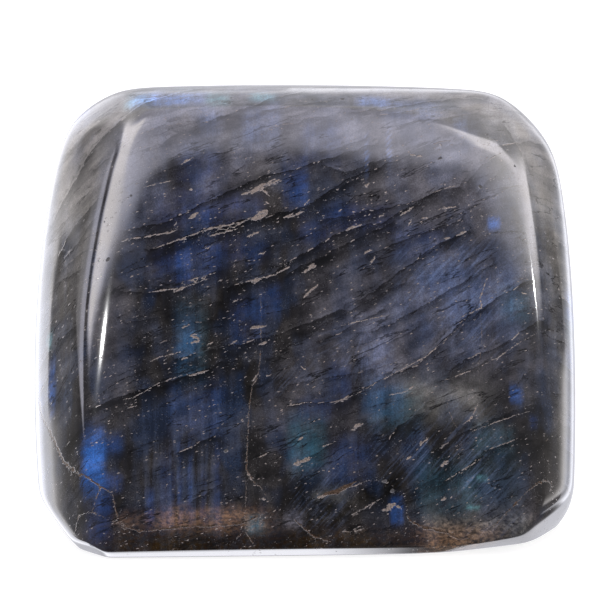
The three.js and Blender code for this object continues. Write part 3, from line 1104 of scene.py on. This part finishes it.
def tent_light(kit, azimuth, height):
    """How bright the surroundings are in every direction."""
    right = azimuth.over(60, 70)
    high = height.over(right * -12 + 26, right * -18 + 46)
    light = by_heading(kit, azimuth, TENT).toward(ZENITH, high)
    panel, gap = left_window(azimuth, height)
    light = light.toward(WINDOW, panel).toward(GAP, gap)
    light = light.toward(WINDOW, right_window(azimuth, height))
    over_top = azimuth.abs().over(130, 150) * height.over(35, 50)
    light = light.toward(OVERHEAD, over_top)
    light = light.toward(REAR, azimuth.abs().over(148, 170) * height.over(24, 12))
    brim = by_heading(kit, azimuth, BRIM)
    opening = (azimuth - 2).abs().over(8, 30) * 0.2 + 0.12
    blur = azimuth.over(-10, 20) * azimuth.over(95, 80) * 1.4 + 0.8
    light = opening.toward(light, height.over(brim - blur, brim + blur))
    right_paper = azimuth.over(103, 111) * azimuth.over(124, 113) * height.over(-3.5, -6.5)
    left_paper = azimuth.over(-108.5, -112) * azimuth.over(-128, -118) * height.over(-7, -9)
    light = light.toward(PAPER, (right_paper + left_paper) * height.over(-20, -15))
    table = azimuth.abs().over(100, 130) * height.over(-36, -48)
    shade_top = azimuth.over(150, 176) * -12 - 26
    corner = azimuth.over(98, 106) * azimuth.over(178, 173) * height.over(shade_top, shade_top - 5)
    return light.toward(TABLE, table).toward(CORNER, corner)


def make_world():
    world = bpy.data.worlds.new("studio")
    bpy.context.scene.world = world
    world.use_nodes = True
    tree = world.node_tree
    tree.nodes.clear()
    kit = Tree(tree)
    coordinates = tree.nodes.new("ShaderNodeTexCoord")
    x, y, z = kit.parts(Flow(tree, coordinates.outputs["Generated"]))
    azimuth = x.math("ARCTAN2", -y) * math.degrees(1)
    light = tent_light(kit, azimuth, z.math("ARCSINE") * math.degrees(1))
    tint = kit.blended(TENT_TINT, SIDE_TINT, (azimuth + 30).abs().over(35, 80))
    tint = kit.blended(tint, BACK_TINT, azimuth.abs().over(106, 118))
    glow = kit.tinted(kit.blended(tint, WINDOW_TINT, light.over(5, 10)), light)
    in_reflections = tree.nodes.new("ShaderNodeLightPath").outputs["Is Glossy Ray"]
    share = Flow(tree, in_reflections) * (1 - DIFFUSE_SHARE) + DIFFUSE_SHARE
    background = tree.nodes.new("ShaderNodeBackground")
    feed(tree, glow, background.inputs["Color"])
    feed(tree, share, background.inputs["Strength"])
    output = tree.nodes.new("ShaderNodeOutputWorld")
    tree.links.new(background.outputs[0], output.inputs[0])


# Small lamps, seen in the polish as spots: the heading and height of each, in degrees.
LAMPS = {"left lamp": (-37.4, 6.3), "right lamp": (62, 6.6)}
LAMP_SIZE = (0.02, 0.008)
LAMP_POWER = 0.5
LAMP_DISTANCE = 1.0
LAMP_AIM = Vector((0, 0, 0.045))


def make_lamp(name, azimuth, height):
    light = bpy.data.lights.new(name, "AREA")
    light.shape = "RECTANGLE"
    light.size, light.size_y = LAMP_SIZE
    light.energy = LAMP_POWER
    lamp = bpy.data.objects.new(name, light)
    bpy.context.collection.objects.link(lamp)
    azimuth, height = math.radians(azimuth), math.radians(height)
    direction = Vector((
        math.sin(azimuth) * math.cos(height), -math.cos(azimuth) * math.cos(height), math.sin(height)))
    lamp.location = LAMP_AIM + direction * LAMP_DISTANCE
    lamp.rotation_euler = direction.to_track_quat("Z", "Y").to_euler()


# Camera

def make_camera(forward_shift):
    data = bpy.data.cameras.new("camera")
    data.lens = data.sensor_width * CAMERA_DISTANCE / FRAME_WIDTH
    data.clip_start = 0.05
    data.clip_end = 20
    camera = bpy.data.objects.new("camera", data)
    bpy.context.collection.objects.link(camera)
    angle = math.radians(CAMERA_HEIGHT_ANGLE)
    away = Vector((0, -math.cos(angle), math.sin(angle)))
    camera.location = Vector((-AIM_LEFT, forward_shift, AIM_HEIGHT)) + away * CAMERA_DISTANCE
    camera.rotation_euler = away.to_track_quat("Z", "Y").to_euler()
    bpy.context.scene.camera = camera


# The floor reaches this far each way.
FLOOR_REACH = 6.0


def make_floor():
    mesh = bpy.data.meshes.new("floor")
    corners = [(x * FLOOR_REACH, y * FLOOR_REACH, 0) for x, y in ((-1, -1), (1, -1), (1, 1), (-1, 1))]
    mesh.from_pydata(corners, [], [(0, 1, 2, 3)])
    floor = bpy.data.objects.new("floor", mesh)
    bpy.context.collection.objects.link(floor)
    material = bpy.data.materials.new("pale_floor")
    material.use_nodes = True
    shader = material.node_tree.nodes["Principled BSDF"]
    shader.inputs["Base Color"].default_value = (0.3, 0.3, 0.3, 1)
    shader.inputs["Roughness"].default_value = 0.8
    shader.inputs["Emission Color"].default_value = (1, 1, 1, 1)
    shader.inputs["Emission Strength"].default_value = 0.8
    floor.visible_glossy = False
    mesh.materials.append(material)


# Scene

def make_stone():
    points, quads = stone_surface()
    placed = centred(points)
    stone = mesh_object("polished_stone", placed * MM, quads)
    add_fields(stone.data, points)
    stone.data.materials.append(make_stone_material())
    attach(stone, "root")
    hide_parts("stone")
    return (placed - points)[0] * MM


shift = make_stone()
make_floor()
make_camera(float(shift[1]))
make_world()
for name, (azimuth, height) in LAMPS.items():
    make_lamp(name, azimuth, height)
bpy.context.scene.view_settings.view_transform = "Standard"
